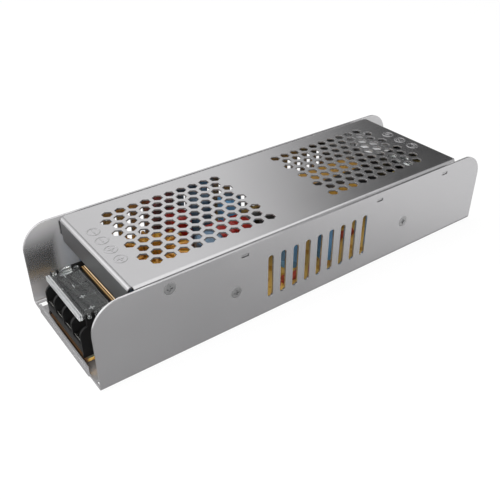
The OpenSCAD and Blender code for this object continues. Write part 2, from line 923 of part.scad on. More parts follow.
// Ring core lying flat
module ring_core(r_out, r_in, h) {
  difference() {
    cylinder(h = h, r = r_out);
    translate([0, 0, -over]) cylinder(h = h + 2 * over, r = r_in);
  }
}

// One round wire turn around the section of a ring core
module wire_turn(r_out, r_in, h, wire) {
  bend = wire / 2 + 3 * slot_clear;
  half_x = (r_out - r_in + wire) / 2 + slot_clear;
  half_z = (h + wire) / 2 + slot_clear;
  translate([(r_out + r_in) / 2, 0, h / 2])
    rotate([90, 0, 0]) {
      for (side = [-1, 1]) {
        translate([side * half_x, 0, 0])
          rotate([90, 0, 0]) cylinder(h = 2 * (half_z - bend), r = wire / 2, center = true);
        translate([0, side * half_z, 0])
          rotate([0, 90, 0]) cylinder(h = 2 * (half_x - bend), r = wire / 2, center = true);
      }
      for (turn_x = [0, half_turn])
        for (turn_y = [0, half_turn])
          rotate([turn_x, turn_y, 0])
            translate([half_x - bend, half_z - bend, 0])
              rotate_extrude(angle = 90) translate([bend, 0]) circle(wire / 2);
    }
}

module output_choke_core() {
  color([0.75, 0.65, 0.3])
    on_board(choke_at)
      translate([0, 0, choke_wire + 2 * slot_clear]) ring_core(choke_r, choke_in_r, choke_h);
}

module output_choke_winding() {
  color([0.65, 0.35, 0.12])
    on_board(choke_at)
      translate([0, 0, choke_wire + 2 * slot_clear])
        for (i = [0 : choke_turns - 1])
          rotate(i * 360 / choke_turns) wire_turn(choke_r, choke_in_r, choke_h, choke_wire);
}

// Half section of a capacitor: round shoulder, rolled groove near the foot
module capacitor_profile(r, h, inset) {
  groove = r * groove_share;
  difference() {
    union() {
      square([r - inset, h - shoulder_r]);
      square([r - shoulder_r, h - inset]);
      translate([r - shoulder_r, h - shoulder_r]) circle(shoulder_r - inset);
    }
    translate([r + groove / 2, groove_z]) circle(groove + inset);
  }
}

// Aluminium can with a scored vent on its top
module capacitor_can(r, h) {
  difference() {
    rotate_extrude() capacitor_profile(r, h, can_t + can_fit);
    for (turn = [0, 90])
      translate([0, 0, h - can_t]) rotate(turn) cube([r, vent_w, vent_w], center = true);
  }
}

// Shrunk plastic sleeve that grips the can and its top rim
module capacitor_sleeve(r, h) {
  difference() {
    rotate_extrude() capacitor_profile(r, h, 0);
    rotate_extrude() capacitor_profile(r, h, can_t);
    cylinder(h = h + over, r = r - shoulder_r);
  }
}

module output_capacitor_cans() {
  color("silver")
    for (at = out_cap_place)
      on_board(at) capacitor_can(out_cap_r, out_cap_h);
}

module output_capacitor_sleeves() {
  color([0.3, 0.42, 0.55])
    for (at = out_cap_place)
      on_board(at) capacitor_sleeve(out_cap_r, out_cap_h);
}

module auxiliary_capacitor_cans() {
  color("silver")
    for (at = aux_cap_at)
      on_board(at) capacitor_can(aux_cap_r, aux_cap_h);
}

module auxiliary_capacitor_sleeves() {
  color([0.3, 0.42, 0.55])
    for (at = aux_cap_at)
      on_board(at) capacitor_sleeve(aux_cap_r, aux_cap_h);
}

// Flat rectangle with round corners about the origin
module rounded_rect(w, h, r) {
  square([w - 2 * r, h], center = true);
  square([w, h - 2 * r], center = true);
  for (x = [-1, 1])
    for (y = [-1, 1])
      translate([x * (w / 2 - r), y * (h / 2 - r)]) circle(r);
}

// Block with edges rounded all round, standing on two leads
module leaded_block(size, r, lead_x, lead_y) {
  translate([0, 0, stand_off + size[2] / 2])
    intersection() {
      linear_extrude(size[2], center = true) rounded_rect(size[0], size[1], r);
      rotate([90, 0, 0])
        linear_extrude(size[1], center = true) rounded_rect(size[0], size[2], r);
      rotate([90, 0, 90])
        linear_extrude(size[0], center = true) rounded_rect(size[1], size[2], r);
    }
  for (side = [-1, 1])
    translate([side * lead_x, side * lead_y, 0])
      cylinder(h = stand_off + pin_in, r = pin_r);
}

module film_capacitors() {
  color([0.55, 0.1, 0.08])
    for (at = film_cap_at)
      on_board(at) leaded_block(film_cap, dip_r, film_cap[0] / 4, 0);
}

// Core outline with two windows, seen from the side
module core_outline(l, h, t) {
  difference() {
    translate([-l / 2, 0]) square([l, h]);
    for (side = [-1, 1])
      translate([side * l / 4 - (l / 2 - 2 * t) / 2 + side * t / 4, t])
        square([l / 2 - 2 * t, h - 2 * t]);
  }
}

// Two E halves closed to one frame around the winding
module main_transformer_core() {
  color([0.2, 0.2, 0.22])
    on_board(main_at)
      translate([0, 0, leg_t / 2])
        rotate([90, 0, 0])
          linear_extrude(main_w / 2, center = true)
            core_outline(main_l, main_h - leg_t / 2, leg_t);
}

// Taped winding around the middle leg
module main_transformer_winding() {
  reach = main_l / 2 - leg_t - slot_clear;
  color([0.8, 0.55, 0.15])
    on_board(main_at)
      translate([0, 0, leg_t / 2 + leg_t + slot_clear])
        difference() {
          translate([-reach, -main_w / 2, 0])
            cube([2 * reach, main_w, main_h - leg_t / 2 - 2 * leg_t - 2 * slot_clear]);
          translate([0, 0, main_h / 2])
            cube([leg_t * 2.5 + 2 * slot_clear, main_w / 2 + 2 * slot_clear, 2 * main_h],
                 center = true);
        }
}

// Tape band over the top and the ends of the core, which holds its halves together
module main_transformer_tape() {
  core_h = main_h - leg_t / 2;
  inside = main_l + fit;
  color([0.8, 0.55, 0.15])
    on_board(main_at)
      translate([0, 0, leg_t / 2])
        rotate([90, 0, 0])
          linear_extrude(main_w / 2 - 2 * tape_t, center = true)
            difference() {
              translate([-inside / 2 - tape_t, core_h / 4])
                square([inside + 2 * tape_t, core_h * 3 / 4 + fit / 2 + tape_t]);
              translate([-inside / 2, 0]) square([inside, core_h + fit / 2]);
            }
}

// Bobbin foot with its pin rails under the core
module main_transformer_bobbin() {
  color([0.1, 0.1, 0.1])
    on_board(main_at)
      translate([-main_l / 2, -main_w / 2, 0])
        cube([main_l, main_w, leg_t / 2]);
}

module drive_transformer_core() {
  color([0.2, 0.2, 0.22])
    on_board(drive_at)
      rotate([90, 0, 0])
        linear_extrude(drive_w / 2, center = true)
          difference() {
            translate([-drive_w / 2, 0]) square([drive_w, drive_h]);
            translate([-drive_w / 4, drive_w / 4])
              square([drive_w / 2, drive_h - drive_w / 2]);
          }
}

module drive_transformer_winding() {
  reach = drive_w / 4 - slot_clear;
  color([0.8, 0.6, 0.2])
    on_board(drive_at)
      translate([-reach, -drive_w / 2, drive_w / 4 + slot_clear])
        cube([2 * reach, drive_w, drive_h - drive_w / 2 - 2 * slot_clear]);
}

// Leaded power package standing against the near plate
module power_package(x, z) {
  tab_t = pack_t * 0.3;
  low = z - pack_h * 0.6;
  translate([x - pack_w / 2, -inner_w / 2 + pad_t, low]) {
    difference() {
      cube([pack_w, tab_t, pack_h]);
      translate([pack_w / 2, -over, pack_h * 0.8])
        rotate([-90, 0, 0]) cylinder(h = pack_t, r = tab_hole_r);
    }
    cube([pack_w, pack_t, pack_h * 0.6]);
    for (i = [-1, 0, 1])
      translate([pack_w / 2 + i * pack_w / 4 - pin_r, pack_t * 0.6, board_top - low])
        cube([2 * pin_r, 2 * pin_r, low - board_top + over]);
  }
}

module rectifier_packages() {
  color([0.1, 0.1, 0.1])
    for (side = [-1, 1])
      power_package(rect_at + side * pack_off, rect_z);
}

module switch_packages() {
  color([0.1, 0.1, 0.1])
    for (side = [-1, 1])
      power_package(switch_at + side * pack_off, switch_z);
}

// Pads between the packages and the plate
module thermal_pads() {
  color([0.7, 0.7, 0.72])
    for (spot = [[rect_at, rect_z], [switch_at, switch_z]])
      for (side = [-1, 1])
        translate([spot[0] + side * pack_off - pack_w / 2, -inner_w / 2,
                   spot[1] - pack_h * 0.6])
          cube([pack_w, pad_t, pack_h]);
}

// Bars that press the packages to the plate
module clamp_bars() {
  color("silver")
    for (spot = [[rect_at, rect_z], [switch_at, switch_z]])
      difference() {
        translate([spot[0] - bar_l / 2, -inner_w / 2 + pad_t + pack_t, spot[1] - bar_h])
          cube([bar_l, bar_t, bar_h + 2 * case_shank_r]);
        at_side(-1, spot[0], spot[1])
          cylinder(h = body_w / 2, r = case_shank_r + fit / 2);
      }
}

// Countersunk screws through the near plate into the clamp bars
module clamp_screws() {
  color("gray")
    for (spot = [[rect_at, rect_z], [switch_at, switch_z]])
      at_side(-1, spot[0], spot[1])
        case_screw(sheet_t + pad_t + pack_t + bar_t);
}

module bulk_capacitor_can() {
  color("silver")
    on_board(bulk_at) capacitor_can(bulk_r, bulk_h);
}

module bulk_capacitor_sleeve() {
  color([0.08, 0.08, 0.08])
    on_board(bulk_at) capacitor_sleeve(bulk_r, bulk_h);
}

module line_choke_core() {
  color([0.1, 0.12, 0.1])
    on_board(line_at)
      translate([0, 0, line_wire + 2 * slot_clear]) ring_core(line_r, line_in_r, line_h);
}

// Two windings on opposite halves of the ring
module line_choke_windings() {
  color([0.5, 0.25, 0.1])
    on_board(line_at)
      translate([0, 0, line_wire + 2 * slot_clear])
        for (half = [0, half_turn])
          for (i = [0 : line_turns - 1])
            rotate(half + 90 + (i - (line_turns - 1) / 2) * winding_arc / line_turns)
              wire_turn(line_r, line_in_r, line_h, line_wire);
}

module safety_capacitor() {
  color([0.8, 0.7, 0.3])
    on_board(safety_at) leaded_block(safety_cap, safety_r, 0, safety_cap[1] / 3);
}

// Flat moulded bridge with a clipped corner, a fixing hole and four leads
module bridge_rectifier() {
  clip = bridge[0] / 8;
  color([0.1, 0.1, 0.1])
    on_board(bridge_at) {
      translate([0, 0, 2 * stand_off])
        rotate([90, 0, 0])
          linear_extrude(bridge[1], center = true)
            difference() {
              polygon([[-bridge[0] / 2, 0], [bridge[0] / 2, 0],
                       [bridge[0] / 2, bridge[2] - clip], [bridge[0] / 2 - clip, bridge[2]],
                       [-bridge[0] / 2, bridge[2]]]);
              translate([0, bridge[2] * 0.6]) circle(tab_hole_r);
            }
      for (i = [0 : 3])
        translate([(i - 1.5) * 2 * dip_pitch, 0, 0])
          cylinder(h = 2 * stand_off + pin_in, r = 1.5 * pin_r);
    }
}

// Dipped disc on edge with a round rim and two leads, its axis along x
module leaded_disc(r, t) {
  translate([0, 0, r + stand_off]) {
    rotate([0, 90, 0])
      rotate_extrude() {
        translate([0, -t / 2]) square([r - t / 2, t]);
        intersection() {
          translate([r - t / 2, 0]) circle(t / 2);
          translate([0, -t]) square([r, 2 * t]);
        }
      }
    for (side = [-1, 1])
      translate([0, side * r / 2, -r - stand_off])
        cylinder(h = r + stand_off, r = pin_r);
  }
}

module inrush_thermistor() {
  color([0.1, 0.12, 0.1]) on_board(therm_at) leaded_disc(therm_r, therm_t);
}

// Glass tube of the fuse
module fuse_tube() {
  color([0.85, 0.85, 0.8])
    on_board(fuse_at)
      translate([0, 0, 2 * fuse_r])
        rotate([90, 0, 0])
          difference() {
            cylinder(h = fuse_l * 0.6, r = fuse_r * 0.9, center = true);
            cylinder(h = fuse_l, r = fuse_r * 0.65, center = true);
          }
}

// Metal end caps of the fuse with their solder posts
module fuse_caps() {
  color("silver")
    on_board(fuse_at)
      for (side = [-1, 1])
        translate([0, side * fuse_l * 0.4, 2 * fuse_r]) {
          rotate([90, 0, 0]) cylinder(h = fuse_l * 0.2, r = fuse_r, center = true);
          translate([0, 0, -2 * fuse_r]) cylinder(h = 2 * fuse_r, r = 2 * pin_r);
        }
}

module disc_capacitors() {
  color([0.25, 0.45, 0.7])
    for (at = disc_at)
      on_board(at) leaded_disc(disc_r, disc_t);
}

// Dual in-line package with an end notch and legs along both sides
module dip_package(size, legs) {
  difference() {
    translate([-size[0] / 2, -size[1] / 2, stand_off]) cube(size);
    translate([-size[0] / 2, 0, stand_off + size[2] / 2])
      cylinder(h = size[2], r = size[1] / 8);
  }
  for (side = [-1, 1])
    for (i = [0 : legs - 1])
      translate([(i - (legs - 1) / 2) * dip_pitch - dip_leg_w / 2,
                 side * size[1] / 2 - dip_leg_t / 2, 0])
        cube([dip_leg_w, dip_leg_t, stand_off + size[2] / 2]);
}

module controller_chip() {
  color([0.08, 0.08, 0.08])
    on_board(chip_at) dip_package(chip, floor(chip[0] / dip_pitch));
}

module optocouplers() {
  color([0.9, 0.9, 0.88])
    for (at = opto_at)
      on_board(at) rotate(90) dip_package([opto[1], opto[0], opto[2]], 2);
}

// Dog-bone resistor lying along x, its leads bent down to the board
module leaded_resistor() {
  translate([0, 0, res_r]) {
    rotate([0, 90, 0])
      rotate_extrude() {
        translate([0, -res_l / 2]) square([res_r * bone_share, res_l]);
        for (end = [-1, 1])
          translate([0, end * res_l * (1 - bone_end) / 2])
            intersection() {
              rounded_rect(2 * res_r, res_l * bone_end, bone_r);
              translate([0, -res_l]) square([res_r, 2 * res_l]);
            }
      }
    for (turn = [0, half_turn])
      rotate(turn) {
        rotate([0, 90, 0]) cylinder(h = res_l / 2 + lead_out, r = pin_r);
        translate([res_l / 2 + lead_out, 0, -lead_bend])
          rotate([90, 0, 0])
            rotate_extrude(angle = 90) translate([lead_bend, 0]) circle(pin_r);
        translate([res_l / 2 + lead_out + lead_bend, 0, -res_r])
          cylinder(h = res_r - lead_bend, r = pin_r);
      }
  }
}

module power_resistors() {
  color([0.5, 0.14, 0.1])
    for (at = res_at)
      on_board(at) leaded_resistor();
}

chassis();
top_cover();
cover_screws();
insulating_film();
circuit_board();
board_standoffs();
board_screws();
output_terminal_block();
output_terminal_cover();
output_contacts();
output_clamp(0);  // output_clamp_1
output_clamp(1);  // output_clamp_2
output_clamp(2);  // output_clamp_3
output_clamp(3);  // output_clamp_4
output_screw(0);  // output_screw_1
output_screw(1);  // output_screw_2
output_screw(2);  // output_screw_3
output_screw(3);  // output_screw_4
input_terminal_block();
input_terminal_cover();
input_contacts();
input_clamp(0);  // input_clamp_1
input_clamp(1);  // input_clamp_2
input_clamp(2);  // input_clamp_3
input_screw(0);  // input_screw_1
input_screw(1);  // input_screw_2
input_screw(2);  // input_screw_3
barrier_card();
output_choke_core();
output_choke_winding();
output_capacitor_cans();
output_capacitor_sleeves();
film_capacitors();
auxiliary_capacitor_cans();
auxiliary_capacitor_sleeves();
main_transformer_core();
main_transformer_winding();
main_transformer_tape();
main_transformer_bobbin();
drive_transformer_core();
drive_transformer_winding();
rectifier_packages();
switch_packages();
thermal_pads();
clamp_bars();
clamp_screws();
bulk_capacitor_can();
bulk_capacitor_sleeve();
line_choke_core();
line_choke_windings();
safety_capacitor();
bridge_rectifier();
inrush_thermistor();
fuse_tube();
fuse_caps();
disc_capacitors();
controller_chip();
optocouplers();
power_resistors();
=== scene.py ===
import math

import bmesh
import bpy
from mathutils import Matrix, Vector


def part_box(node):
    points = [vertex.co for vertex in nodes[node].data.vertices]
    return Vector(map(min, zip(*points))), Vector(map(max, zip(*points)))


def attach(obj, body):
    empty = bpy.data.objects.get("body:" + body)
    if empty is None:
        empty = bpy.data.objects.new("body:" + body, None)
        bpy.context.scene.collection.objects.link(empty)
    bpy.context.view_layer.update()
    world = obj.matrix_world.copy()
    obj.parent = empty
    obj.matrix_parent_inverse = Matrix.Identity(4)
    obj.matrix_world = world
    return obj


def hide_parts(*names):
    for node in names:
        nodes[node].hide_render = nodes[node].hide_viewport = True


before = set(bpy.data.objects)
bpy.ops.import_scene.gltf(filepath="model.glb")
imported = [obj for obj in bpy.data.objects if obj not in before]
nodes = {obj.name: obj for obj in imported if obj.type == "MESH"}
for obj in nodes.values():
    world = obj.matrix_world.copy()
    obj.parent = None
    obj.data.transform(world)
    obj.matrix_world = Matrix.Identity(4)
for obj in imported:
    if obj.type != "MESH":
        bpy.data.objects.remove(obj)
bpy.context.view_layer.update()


# Chassis: a channel folded from one sheet of bare aluminium, with punched vents and
# a lip at each end. The rolled sheet keeps a faint grain along its length. Inside
# the open ends, painted light: the inner faces are made less metallic near the rim,
# the cover and the base, so their diffuse tone shows lighter there, as where light falls.
class Shade:
    """One output of a shader node. Sums, products and comparisons add Math nodes."""

    def __init__(self, tree, outlet=None):
        self.tree = tree
        self.outlet = outlet

    def node(self, kind, settings=(), values=(), outlet=0):
        """Adds a node of that type: its settings first, then its input values or links."""
        made = self.tree.nodes.new(kind)
        for name, value in dict(settings).items():
            setattr(made, name, value)
        for name, value in dict(values).items():
            if isinstance(value, Shade):
                self.tree.links.new(value.outlet, made.inputs[name])
            else:
                made.inputs[name].default_value = value
        return Shade(self.tree, made.outputs[outlet])

    def maths(self, operation, *values):
        return self.node("ShaderNodeMath", {"operation": operation}, enumerate(values))

    def __add__(self, other):
        return self.maths("ADD", self, other)

    def __sub__(self, other):
        return self.maths("SUBTRACT", self, other)

    def __rsub__(self, other):
        return self.maths("SUBTRACT", other, self)

    def __mul__(self, other):
        return self.maths("MULTIPLY", self, other)

    def __gt__(self, other):
        return self.maths("GREATER_THAN", self, other)

    def __lt__(self, other):
        return self.maths("LESS_THAN", self, other)

    __radd__ = __add__
    __rmul__ = __mul__

    def larger(self, other):
        """The larger of this value and the other."""
        return self.maths("MAXIMUM", self, other)

    def axis(self, name):
        """One coordinate of this place, in metres."""
        return self.node("ShaderNodeSeparateXYZ", values={0: self}, outlet=name)

    def offset(self, name):
        """Distance of this place from the middle of the part along one axis, in metres."""
        return self.maths("ABSOLUTE", self.axis(name))

    def ramp(self, start, end):
        """Runs smoothly from 0 to 1 as this value runs from start to end."""
        return self.node(
            "ShaderNodeMapRange",
            {"interpolation_type": "SMOOTHSTEP"},
            {"Value": self, "From Min": start, "From Max": end},
        )

    def grain(self, scale, stretch=(1.0, 1.0, 1.0), detail=3.0):
        """Noise from 0 to 1 at this place, with features of about 1 / scale metres."""
        spread = self.node("ShaderNodeMapping", values={"Vector": self, "Scale": stretch})
        return self.node(
            "ShaderNodeTexNoise", values={"Vector": spread, "Scale": scale, "Detail": detail}
        )

    def blend(self, low, high):
        """Colour that runs from low to high as this value runs from 0 to 1."""
        first_colour, second_colour, result = 6, 7, 2
        ends = {
            first_colour: low if isinstance(low, Shade) else (*low, 1.0),
            second_colour: high if isinstance(high, Shade) else (*high, 1.0),
        }
        return self.node("ShaderNodeMix", {"data_type": "RGBA"}, {0: self, **ends}, outlet=result)


class Finish:
    """A material on Object coordinates with its main shader."""

    def __init__(self, name, **sockets):
        self.material = bpy.data.materials.new(name)
        self.material.use_nodes = True
        self.tree = self.material.node_tree
        self.shader = self.tree.nodes["Principled BSDF"]
        self.place = Shade(self.tree).node("ShaderNodeTexCoord", outlet="Object")
        for socket, value in sockets.items():
            self.shader.inputs[socket.replace("_", " ")].default_value = value

    def feed(self, socket, shade):
        self.tree.links.new(shade.outlet, self.shader.inputs[socket])

    def rough(self, shade, low, high):
        """Roughness that runs from low to high as the shade runs from 0 to 1."""
        self.feed("Roughness", shade * (high - low) + low)

    def bump(self, height, distance, strength, rounding=0.0):
        """Small relief, on edges that catch the light as if rounded by that radius."""
        values = {"Height": height, "Distance": distance, "Strength": strength}
        if rounding:
            values["Normal"] = height.node("ShaderNodeBevel", values={"Radius": rounding})
        self.feed("Normal", height.node("ShaderNodeBump", values=values))

    def dress(self, piece):
        piece.data.materials.clear()
        piece.data.materials.append(self.material)

    def on(self, *names):
        """Gives these carried-over nodes the finish."""
        for name in names:
            self.dress(nodes[name])


sheet_grain = (60.0, 2600.0, 2600.0)
satin = (0.20, 0.30)
eased_edge = 0.0002


def rolled_sheet(name, tone):
    """Satin aluminium sheet, rolled along X. Its shade and colour are kept for later use."""
    sheet = Finish(name)
    grain = sheet.place.grain(1.0, stretch=sheet_grain, detail=2.0)
    cloud = sheet.place.grain(45.0, detail=4.0)
    sheet.shade = grain * 0.35 + cloud * 0.65
    sheet.colour = sheet.shade.blend([t * 0.95 for t in tone], [t * 1.05 for t in tone])
    sheet.feed("Base Color", sheet.colour)
    sheet.rough(sheet.shade, *satin)
    sheet.bump(grain, distance=0.00001, strength=0.1, rounding=eased_edge)
    return sheet


chassis_sheet = rolled_sheet("satin_chassis_sheet", tone=(0.60, 0.595, 0.605))
half_plate = 0.0005
plate_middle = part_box("chassis")[1][1] - half_plate
cover_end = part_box("top_cover")[1][0]
open_end_band = (cover_end - 0.0133, cover_end - 0.0063)
cover_band = (cover_end + 0.0012, cover_end + 0.0062)
rim_band = (0.024, 0.042)
base_band = (0.010, 0.018)
bare_metal = 0.90
painted_light_strength = 0.54
painted_light_by_cover = 0.70
painted_light_by_base = 0.35
along = chassis_sheet.place.offset("X")
aside = chassis_sheet.place.offset("Y")
above = chassis_sheet.place.axis("Z")
by_rim = above.ramp(*rim_band)
by_cover = painted_light_by_cover - painted_light_by_cover * along.ramp(*cover_band)
by_base = painted_light_by_base - painted_light_by_base * above.ramp(*base_band)
# Painted light: bands near the rim, the cover and the base, where the inner faces lose metal and
# show lighter.
painted_light_bands = by_rim.larger(by_cover).larger(by_base)
inside_end = (aside < plate_middle) * along.ramp(*open_end_band)
chassis_sheet.feed("Metallic", bare_metal - painted_light_strength * inside_end * painted_light_bands)
chassis_sheet.on("chassis")


# Base layers: an amber insulating film laid on the base, turned brass spacers on it
# and the pan-head screws that hold the board down to them.
film = Finish("amber_insulating_film", IOR=1.5)
ripple = film.place.grain(60.0)
film.feed("Base Color", ripple.blend((0.055, 0.042, 0.026), (0.095, 0.07, 0.04)))
film.rough(ripple, 0.18, 0.35)
film.bump(ripple, distance=0.0002, strength=0.3)
film.on("insulating_film")

brass = Finish("turned_brass", Metallic=1.0)
turning = brass.place.grain(1.0, stretch=(300.0, 300.0, 6000.0), detail=2.0)
brass.feed("Base Color", turning.blend((0.62, 0.44, 0.16), (0.80, 0.60, 0.28)))
brass.rough(turning, 0.22, 0.38)
brass.on("board_standoffs")


def plated_steel(name, dark, light, smooth, dull, metal=1.0):
    steel = Finish(name, Metallic=metal)
    scuff = steel.place.grain(700.0, detail=5.0)
    steel.feed("Base Color", scuff.blend(dark, light))
    steel.rough(scuff, smooth, dull)
    steel.bump(scuff, distance=0.00002, strength=0.4, rounding=eased_edge)
    return steel


bright_steel = plated_steel(
    "bright_plated_steel", (0.50, 0.50, 0.49), (0.72, 0.72, 0.70), 0.22, 0.45
)
bright_steel.on("board_screws")


# Circuit board: sawn from amber-brown laminate, with tinned tracks. Its top is
# darker near both terminal ends, tracks and all, and painted shade turns the last two
# millimetres at each end, top and edge, dark brown under the terminal blocks.
board = Finish("brown_laminate_board", IOR=1.5)
board_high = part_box("circuit_board")[1]
board_end = board_high[0]
board_top = board_high[2]
dark_end_len = 0.0341
end_shade_band = (board_end - 0.0021, board_end - 0.0003)
skin = 0.00002
fibre = board.place.grain(1.0, stretch=(500.0, 90.0, 4000.0), detail=4.0)
cells = board.place.node(
    "ShaderNodeTexVoronoi",
    {"distance": "MANHATTAN", "feature": "F1"},
    {"Vector": board.place, "Scale": 130.0, "Randomness": 0.6},
    outlet="Distance",
)
track = cells > 0.62
dark_end_tone = track.blend((0.040, 0.045, 0.030), (0.11, 0.11, 0.075))
laminate = fibre.blend((0.46, 0.22, 0.028), (0.66, 0.34, 0.05))
bare = track.blend(laminate, (0.74, 0.47, 0.12))
along = board.place.offset("X")
darker_top_end = (board.place.axis("Z") > board_top - skin) * (along > board_end - dark_end_len)
# Painted shade: dark brown over the last two millimetres at each end, under the blocks.
painted_end_shade = along.ramp(*end_shade_band)
board.feed("Base Color", painted_end_shade.blend(darker_top_end.blend(bare, dark_end_tone), (0.07, 0.035, 0.015)))
board.rough(fibre, 0.35, 0.55)
board.bump(track + fibre * 0.3, distance=0.00005, strength=0.5)
board.on("circuit_board")


# Terminal blocks: black glass-filled nylon, moulded in one piece with their bays
# and cheeks, with a fine spark-eroded skin. The contacts' legs hold them to the board.
def moulded(name, dark, light, smooth, dull, scale=1800.0, shine=0.5):
    plastic = Finish(name, IOR=1.46, Specular_IOR_Level=shine)
    texture = plastic.place.grain(scale, detail=2.0)
    cloud = plastic.place.grain(120.0)
    plastic.feed("Base Color", (texture * 0.5 + cloud * 0.5).blend(dark, light))
    plastic.rough(cloud, smooth, dull)
    plastic.bump(texture, distance=0.00003, strength=0.5)
    return plastic


block_plastic = moulded(
    "black_block_moulding", (0.003, 0.003, 0.003), (0.009, 0.009, 0.0095), 0.32, 0.5, shine=0.2
)
block_plastic.on("output_terminal_block", "input_terminal_block")


# Terminal hardware: tinned brass contact plates, and in each bay a square clamp
# washer of plated steel. The screw has a domed head with a pressed cross recess
# and a rolled thread, and it turns in its own contact plate.
tinned = plated_steel("tinned_contact", (0.50, 0.49, 0.46), (0.78, 0.77, 0.73), 0.06, 0.16)
tinned.on("output_contacts", "input_contacts")


def only(piece):
    """Selects this piece alone and makes it the active one."""
    bpy.ops.object.select_all(action="DESELECT")
    piece.select_set(True)
    bpy.context.view_layer.objects.active = piece
    return piece


def set_in_mesh(name):
    """Names the object just made and puts its place, turn and scale into its mesh."""
    piece = only(bpy.context.object)
    piece.name = name
    bpy.ops.object.transform_apply(location=True, rotation=True, scale=True)
    return piece


def pick(piece, kind, wanted):
    """In edit mode, selects the faces, edges or points whose middle meets the condition."""
    bpy.ops.mesh.select_mode(type=kind)
    bpy.ops.mesh.select_all(action="DESELECT")
    shape = bmesh.from_edit_mesh(piece.data)
    parts = {"FACE": shape.faces, "EDGE": shape.edges, "VERT": shape.verts}[kind]
    for part in parts:
        points = [part] if kind == "VERT" else list(part.verts)
        middle = sum((point.co for point in points), Vector()) / len(points)
        part.select_set(bool(wanted(middle)))
    shape.select_flush_mode()
    bmesh.update_edit_mesh(piece.data)


def cut_away(piece, cutter):
    """Takes the cutter's shape out of the piece and deletes the cutter."""
    only(piece)
    cut = piece.modifiers.new("recess", "BOOLEAN")
    cut.operation = "DIFFERENCE"
    cut.solver = "EXACT"
    cut.object = cutter
    bpy.ops.object.modifier_apply(modifier=cut.name)
    bpy.data.objects.remove(cutter)


def push_out(distance):
    """Extrudes the selected faces along Z."""
    bpy.ops.mesh.extrude_region_move(TRANSFORM_OT_translate={"value": (0, 0, distance)})


tiny = 0.00001
head_r = 0.0031
head_h = 0.0024
head_rim = 0.0016
head_land = 0.00015
head_edge = 0.00012
dome_steps = 6
shank_r = 0.00142
shank_len = 0.0064
tip_len = 0.0004
tip_taper = 0.72
bpy.ops.object.select_all(action="DESELECT")
bpy.ops.mesh.primitive_cylinder_add(
    vertices=48, radius=head_r, depth=head_rim, location=(0, 0, head_rim / 2)
)
screw = set_in_mesh("terminal_screw")
bpy.ops.object.mode_set(mode="EDIT")
pick(screw, "FACE", lambda at: at.z > head_rim - tiny)
for step in range(dome_steps):
    bpy.ops.mesh.inset(thickness=head_r / (dome_steps + 1))
    inner = (dome_steps - step) / (dome_steps + 1)
    outer = (dome_steps + 1 - step) / (dome_steps + 1)
    rise = (head_h - head_rim) * (outer * outer - inner * inner)
    bpy.ops.transform.translate(value=(0, 0, rise))
pick(screw, "FACE", lambda at: at.z < tiny)
bpy.ops.mesh.inset(thickness=head_land)
bpy.ops.mesh.inset(thickness=head_r - head_land - shank_r)
push_out(tip_len - shank_len)
push_out(-tip_len)
bpy.ops.transform.resize(value=(tip_taper, tip_taper, 1.0))
outer_edge = 0.98 * head_r
pick(screw, "EDGE", lambda at: abs(at.z) < tiny and math.hypot(at.x, at.y) > outer_edge)
bpy.ops.mesh.bevel(offset=head_edge, segments=2)
bpy.ops.object.mode_set(mode="OBJECT")

cross_len = 0.0036
cross_wide = 0.0009
cross_deep = 0.0012
cross_taper = 0.55
for turn in (0, 90):
    bpy.ops.mesh.primitive_cube_add(
        size=1, location=(0, 0, head_h), rotation=(0, 0, math.radians(turn))
    )
    slot = bpy.context.object
    slot.scale = (cross_len, cross_wide, 2 * cross_deep)
    slot = set_in_mesh("recess_cutter")
    bpy.ops.object.mode_set(mode="EDIT")
    pick(slot, "VERT", lambda at: at.z < head_h)
    bpy.ops.transform.resize(value=(cross_taper, cross_taper, 1.0))
    bpy.ops.object.mode_set(mode="OBJECT")
    cut_away(screw, slot)

thread_r = 0.00168
thread_root = 0.00046
thread_crest = 0.2
thread_sunk = 0.0001
thread_start = 0.0006
thread_pitch = 0.0006
thread_turns = 9
bpy.ops.object.select_all(action="DESELECT")
bpy.ops.mesh.primitive_plane_add(size=1, rotation=(math.radians(90), 0, 0))
thread = bpy.context.object
thread.scale = (thread_r - shank_r + thread_sunk, thread_root, 1)
thread.location = ((thread_r + shank_r - thread_sunk) / 2, 0, thread_start - shank_len)
thread = set_in_mesh("rolled_thread")
bpy.ops.object.mode_set(mode="EDIT")
pick(thread, "VERT", lambda at: at.x > (thread_r + shank_r) / 2)
bpy.ops.transform.resize(value=(1.0, 1.0, thread_crest))
bpy.ops.mesh.select_all(action="SELECT")
bpy.ops.mesh.delete(type="ONLY_FACE")
bpy.ops.object.mode_set(mode="OBJECT")
wind = thread.modifiers.new("wind", "SCREW")
wind.steps = 24
wind.render_steps = 24
wind.screw_offset = thread_pitch
wind.iterations = thread_turns
bpy.ops.object.modifier_apply(modifier=wind.name)
merge_distance = 0.000001
bpy.ops.object.mode_set(mode="EDIT")
bpy.ops.mesh.select_all(action="SELECT")
bpy.ops.mesh.remove_doubles(threshold=merge_distance)
bpy.ops.mesh.fill_holes(sides=4)
bpy.ops.mesh.select_all(action="SELECT")
bpy.ops.mesh.normals_make_consistent(inside=False)
bpy.ops.object.mode_set(mode="OBJECT")
screw.select_set(True)
bpy.context.view_layer.objects.active = screw
bpy.ops.object.join()
bpy.ops.object.shade_smooth_by_angle(angle=math.radians(32))
bright_steel.dress(screw)


def own_copy(model):
    """Copies an object with a mesh of its own and selects the copy alone."""
    piece = model.copy()
    piece.data = model.data.copy()
    bpy.context.collection.objects.link(piece)
    return only(piece)


def middle_of(name):
    """X and Y of the middle of a carried-over node."""
    low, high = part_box(name)
    return (low[0] + high[0]) / 2, (low[1] + high[1]) / 2


